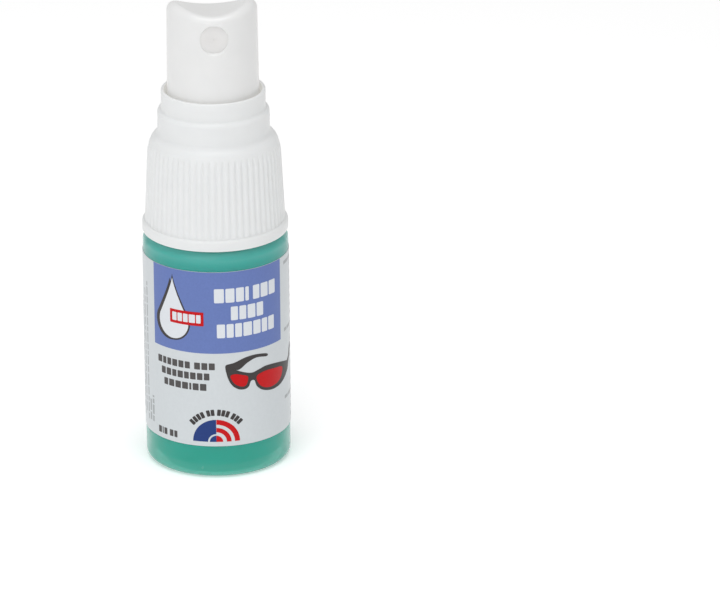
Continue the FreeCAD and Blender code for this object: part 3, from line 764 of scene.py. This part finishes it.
def printed_glasses():
    """A plain pair of sunglasses with red lenses, seen a little from one side."""
    rims = [(1.7, 20.9), (3.2, 20.1), (4.8, 19.4), (6.4, 19.0), (7.8, 19.3), (9.4, 19.6),
            (11.6, 19.4), (14.0, 18.9), (16.5, 18.1), (16.5, 17.0), (15.2, 15.9), (13.2, 15.0),
            (10.8, 14.8), (8.7, 15.3), (7.4, 16.3), (6.9, 17.5), (6.2, 17.5), (5.8, 16.6),
            (5.0, 16.2), (3.8, 16.4), (2.7, 17.3), (2.0, 18.8)]
    near_arm = [(1.75, 20.9), (3.2, 21.3), (5.3, 22.05), (7.4, 22.2), (9.6, 21.8), (9.6, 21.3),
                (7.4, 21.6), (5.6, 21.0), (3.8, 19.9)]
    far_arm = [(16.0, 18.2), (16.9, 19.0), (17.6, 20.4), (18.5, 21.0), (18.0, 19.4), (16.6, 17.4)]
    left_lens = [(2.5, 18.9), (3.4, 19.2), (4.6, 18.9), (5.6, 18.5), (5.6, 17.6), (5.1, 16.8),
                 (4.1, 16.9), (3.1, 17.6)]
    right_lens = [(7.4, 18.2), (9.2, 18.7), (11.6, 18.5), (13.8, 18.0), (13.6, 16.6),
                  (12.5, 15.7), (10.6, 15.4), (8.8, 15.8), (7.7, 16.8)]
    arms = [smooth_loop(near_arm), smooth_loop(far_arm)]
    lenses = [smooth_loop(left_lens), smooth_loop(right_lens)]
    print_piece("print_glasses_arms", arms, LIFT, DARK_INK)
    print_piece("print_glasses_frame", [smooth_loop(rims)], 2 * LIFT, DARK_INK)
    print_piece("print_glasses_lenses", lenses, 3 * LIFT, RED_INK)


def sector(centre, inner, outer, start, end):
    """A flat band between two radii, angles in degrees."""
    steps = 18
    outside = arc(centre, (outer, outer), start, end, steps)
    if inner <= 0:
        return [centre] + outside
    return outside + arc(centre, (inner, inner), end, start, steps)


def printed_badge():
    """A half-round badge of plain bands under an arch of blocks."""
    centre = (-0.05, 6.85)
    left = [sector(centre, inner, outer, 90.4, 180) for inner, outer in ((0, 1.15), (1.45, 4.1))]
    right = [sector(centre, inner, outer, 0, 89.6)
             for inner, outer in ((0, 1.15), (1.8, 2.6), (3.2, 4.1))]
    print_piece("print_badge_navy", left, LIFT, NAVY_INK)
    print_piece("print_badge_red", right, LIFT, RED_INK)
    half_width, inner, outer = 0.31, 4.85, 6.0
    block_step, word_step = 8.0, 3.6
    block = rounded_box(centre[0] - half_width, centre[1] + inner,
                        centre[0] + half_width, centre[1] + outer, 0.12, 2)
    blocks = []
    angle = 140.0
    for count in (4, 2, 3, 3):
        for _ in range(count):
            blocks.append(turned_points(block, centre, angle - 90))
            angle -= block_step
        angle -= word_step
    print_piece("print_badge_blocks", blocks, LIFT, DARK_INK)


def greeked_run(start, end, at, thickness, upright, pick):
    """A run of small blocks along one line of fine print, up the label or level along it."""
    widths = (1.0, 1.7, 0.8, 1.4, 2.1, 1.1, 1.5, 0.7)
    shortest, gap = 0.3, 0.32
    blocks = []
    while start < end - shortest:
        stop = min(end, start + widths[pick % len(widths)])
        flat = [(start, at), (stop, at), (stop, at + thickness), (start, at + thickness)]
        blocks.append([(-v, u) for u, v in flat] if upright else flat)
        start = stop + gap
        pick += 1
    return blocks


def printed_small_print():
    """Fine greeked print: upright lines on the left side, headed paragraphs on the right."""
    blocks = []
    for i in range(13):
        low, high = 8.0 + i % 2, 33.5 - 1.7 * (i % 4)
        blocks += greeked_run(low, high, 15.0 + 1.3 * i, 0.42, upright=True, pick=i)
    for i in range(2):
        blocks += greeked_run(8.2, 13.0 - i, 13.0 + 0.95 * i, 0.55, upright=True, pick=3 * i)
    for heading, lines in ((36.4, 7), (24.1, 7), (11.6, 3)):
        blocks += greeked_run(14.9, 27.0, heading, 0.6, upright=False, pick=int(heading))
        for i in range(lines):
            end, height = 32.5 - 2.3 * (i % 3), heading - 1.5 * (i + 1)
            blocks += greeked_run(18.6, end, height, 0.5, upright=False, pick=i)
    print_piece("print_small_blocks", blocks, LIFT, GREY_INK)


# ---------------------------------------------------------------- button

def button_piece():
    """Push button: drafted wall, rounded rim and finger dish, hollow below; and its stem boss."""
    low = BUTTON_LOW
    low_radius, high_radius, blank_top = 7.9, 7.64, 86.0
    rim_round = 1.3
    columns = 240
    front_z, slope, curve_front, curve_back = 81.98, 0.155, 0.061, 0.035
    straight_top = 76
    hollow_radius, hollow_top = 6.95, 74.5

    def wall(z):
        return low_radius + (high_radius - low_radius) * (z - low) / (blank_top - low)

    def dish(x, y):
        share = min(1.0, max(0.0, (y + high_radius) / (2 * high_radius)))
        curve = curve_front + (curve_back - curve_front) * share
        return front_z - slope * (y + high_radius) + curve * x * x

    centre_radius = wall(front_z) - rim_round
    verts = []

    def add_row(point):
        for i in range(columns):
            verts.append(point(TURN * i / columns))

    def at(radius, turn, z):
        return radius * math.cos(turn + NOZZLE_TURN), radius * math.sin(turn + NOZZLE_TURN), z

    def top_at(radius, turn):
        return dish(radius * math.cos(turn), radius * math.sin(turn))

    def rim(turn):
        """Where the rounded rim meets the dish: its radius, the rounding's centre and lean."""
        radius = centre_radius
        nudge = 0.01
        for _ in range(4):
            lean = math.atan((top_at(radius + nudge, turn) - top_at(radius, turn)) / nudge)
            radius = centre_radius - rim_round * math.sin(lean)
        return radius, top_at(radius, turn) - rim_round * math.cos(lean), lean

    def wall_point(turn, share):
        z = straight_top + share * (rim(turn)[1] - straight_top)
        return at(wall(z), turn, z)

    def rim_point(turn, share):
        _, centre_z, lean = rim(turn)
        bend = share * (math.pi / 2 + lean)
        return at(centre_radius + rim_round * math.cos(bend), turn,
                  centre_z + rim_round * math.sin(bend))

    def dish_point(turn, share):
        radius = rim(turn)[0] * share
        return at(radius, turn, top_at(radius, turn))

    for z in (low + 0.2, 66, 68, 70, 72, 74, straight_top):
        add_row(lambda turn, z=z: at(wall(z), turn, z))
    for share in (0.5, 0.85):
        add_row(lambda turn, s=share: wall_point(turn, s))
    rim_rows = 12
    for i in range(rim_rows + 1):
        add_row(lambda turn, s=i / rim_rows: rim_point(turn, s))
    for share in (0.93, 0.82, 0.7, 0.56, 0.42, 0.28, 0.14, 0):
        add_row(lambda turn, s=share: dish_point(turn, s))
    hollow = [(0, hollow_top), (3.0, hollow_top), (6.3, hollow_top),
              (hollow_radius, 74.0), (hollow_radius, 68), (hollow_radius, low + 0.15),
              (7.1, low), (7.75, low)]
    for radius, z in hollow:
        add_row(lambda turn, r=radius, z=z: at(r, turn, z))
    faces = ring_faces(len(verts) // columns, columns, closed=True)
    button = new_object("button_shell", verts, faces, 40)
    cut_pocket(button)
    boss_bore, boss_radius, boss_low, boss_high = 2.03, 3.4, 69.5, 74.8
    boss = lathe([(boss_bore, boss_low), (boss_radius, boss_low),
                  (boss_radius, boss_high), (boss_bore, boss_high)], 96, closed=True)
    return button, new_object("button_boss", *boss)


def cut_pocket(button):
    """Cut the nozzle's round pocket, with a flared mouth, into the button."""
    radius, flare, depth = NOZZLE_RADIUS + 0.002, 0.35, 3.1
    floor, mouth, front = NOZZLE_FACE - depth, NOZZLE_FACE - 0.02, NOZZLE_FACE + 2
    profile = [(0, floor), (radius, floor), (radius, mouth),
               (radius + flare, mouth + flare), (radius + flare, front), (0, front)]
    cutter = new_object("nozzle_cutter", *facing_forward(lathe(profile, 96, closed=False)))
    cut = button.modifiers.new("nozzle_pocket", "BOOLEAN")
    cut.object = cutter
    cut.operation = "DIFFERENCE"
    cut.solver = "EXACT"
    bpy.context.view_layer.update()
    evaluated = button.evaluated_get(bpy.context.evaluated_depsgraph_get())
    mesh = bpy.data.meshes.new_from_object(evaluated)
    button.modifiers.clear()
    button.data = mesh
    bpy.data.objects.remove(cutter)
    mesh.shade_smooth()
    mesh.set_sharp_from_angle(angle=math.radians(40))


def nozzle_piece():
    """The nozzle insert: a shallow dished face with a fine orifice, hollow behind."""
    face = NOZZLE_FACE
    bore, web, length = 1.32, 0.75, 3.0
    profile = [(0, face - 0.3), (0.09, face - 0.3), (0.1, face - 0.14), (0.5, face - 0.08),
               (1.5, face + 0.02), (2.3, face), (NOZZLE_RADIUS, face - 0.02),
               (NOZZLE_RADIUS, face - length), (bore, face - length), (bore, face - web),
               (0, face - web)]
    nozzle = facing_forward(lathe(profile, 96, closed=False))
    return new_object("nozzle_face", *nozzle, smooth_angle=60)


def facing_forward(piece):
    """A piece made about Z, turned to face -Y at the nozzle's height and to aim as it does."""
    verts, faces = piece
    cosine, sine = math.cos(NOZZLE_TURN), math.sin(NOZZLE_TURN)
    placed = [(x * cosine + z * sine, x * sine - z * cosine, NOZZLE_Z + y) for x, y, z in verts]
    return placed, faces


# ---------------------------------------------------------------- springs

def spring_piece(node, wire, turns):
    """A coil spring of round wire in a CAD spring's space, with a closed coil at each end."""
    low, high = span(node)
    mean = high.x - wire
    closed_rise = 2.1 * wire
    open_rise = (high.z - low.z - 2 * wire - 2 * closed_rise) / turns
    sides, steps_per_turn = 12, 40
    steps = (turns + 2) * steps_per_turn
    verts = []
    z = low.z + wire
    for i in range(steps + 1):
        turn = TURN * i / steps_per_turn
        for k in range(sides):
            around = TURN * k / sides
            radius = mean + wire * math.cos(around)
            height = z + wire * math.sin(around)
            verts.append((radius * math.cos(turn), radius * math.sin(turn), height))
        at_end = i < steps_per_turn or i >= steps - steps_per_turn
        z += (closed_rise if at_end else open_rise) / steps_per_turn
    faces = ring_faces(steps + 1, sides) + end_faces(steps + 1, sides)
    return new_object(node + "_coil", verts, faces)


def place_spring(node, body, wire, turns):
    """A coil spring that stands in for a CAD spring, on its body, with a mesh of its own."""
    spring = place(spring_piece(node, wire, turns), body, SPRING, node)
    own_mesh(spring)


# ---------------------------------------------------------------- stage

def area_light(name, position, target, size, power):
    """A soft square lamp aimed at a point."""
    data = bpy.data.lights.new(name, "AREA")
    data.shape = "SQUARE"
    data.size = size
    data.energy = power
    lamp = bpy.data.objects.new(name, data)
    lamp.location = position
    lamp.rotation_euler = (Vector(target) - Vector(position)).to_track_quat("-Z", "Y").to_euler()
    bpy.context.scene.collection.objects.link(lamp)


def studio():
    """Pale floor, even white surroundings and soft lamps."""
    half = 3.0
    corners = [(-half, -half, 0), (half, -half, 0), (half, half, 0), (-half, half, 0)]
    mesh = bpy.data.meshes.new("floor")
    mesh.from_pydata(corners, [], [(0, 1, 2, 3)])
    floor = bpy.data.objects.new("floor", mesh)
    bpy.context.scene.collection.objects.link(floor)
    material, _, _, _ = principled("floor_paper", (0.95, 0.95, 0.95), 0.9,
                                   Emission_Strength=0.3, Emission_Color=(1, 1, 1, 1))
    mesh.materials.append(material)
    world = bpy.data.worlds.new("studio")
    world.use_nodes = True
    background = world.node_tree.nodes["Background"]
    background.inputs["Color"].default_value = (1, 1, 1, 1)
    background.inputs["Strength"].default_value = 0.47
    bpy.context.scene.world = world
    target = (0, 0, 0.045)
    area_light("key", (-0.3, -0.6, 0.4), target, size=0.5, power=1.0)
    area_light("front", (-0.04, -0.75, 0.38), target, size=0.14, power=0.24)
    area_light("top", (0.0, -0.12, 0.6), target, size=0.35, power=1.4)


def camera():
    """Long lens, a little above the spray, which stands left of the middle."""
    elevation = math.radians(21.34)
    roll = math.radians(-0.38)
    distance = 1.0347
    aim = Vector((0.02475, 0, 0.02783))
    back = Vector((0, -math.cos(elevation), math.sin(elevation)))
    right = Vector((1, 0, 0))
    up = back.cross(right)
    tilted_right = right * math.cos(roll) + up * math.sin(roll)
    tilted_up = up * math.cos(roll) - right * math.sin(roll)
    data = bpy.data.cameras.new("camera")
    data.sensor_width = 36
    data.lens = 300
    data.clip_start = 0.05
    data.clip_end = 10
    obj = bpy.data.objects.new("camera", data)
    matrix = Matrix((tilted_right, tilted_up, back)).transposed().to_4x4()
    matrix.translation = aim + back * distance
    obj.matrix_world = matrix
    bpy.context.scene.collection.objects.link(obj)
    bpy.context.scene.camera = obj


camera()
studio()
place(bottle_piece(), "bottle", BOTTLE_LOOK, "bottle")
place(liquid_piece(), "bottle", LIQUID_LOOK, "liquid")
place(label_piece(), "bottle", FILM, "label")
printed_panel()
printed_drop()
printed_title()
printed_tagline()
printed_glasses()
printed_badge()
printed_small_print()
place(closure_piece(), "closure", WHITE_CAP, "closure")
button, boss = button_piece()
place(button, "actuator", WHITE_BUTTON, "actuator")
place(boss, "actuator", WHITE_BUTTON)
place(nozzle_piece(), "actuator", NOZZLE_WHITE, "nozzle_insert")
place_spring("return_spring", "pump", wire=0.22, turns=7)
place_spring("valve_spring", "stem", wire=0.15, turns=5)

CAD_LOOKS = (
    ("gasket", FOAM),
    ("pump_housing", PUMP_WHITE),
    ("gland", PUMP_WHITE),
    ("dip_tube", TUBE_WHITE),
    ("inlet_ball", STEEL),
    ("stem", STEM_WHITE),
    ("stem_plug", STEM_WHITE),
    ("piston", PISTON_WHITE),
)
for node, look in CAD_LOOKS:
    set_look(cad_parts[node], look)

bpy.context.scene.view_settings.view_transform = "Standard"
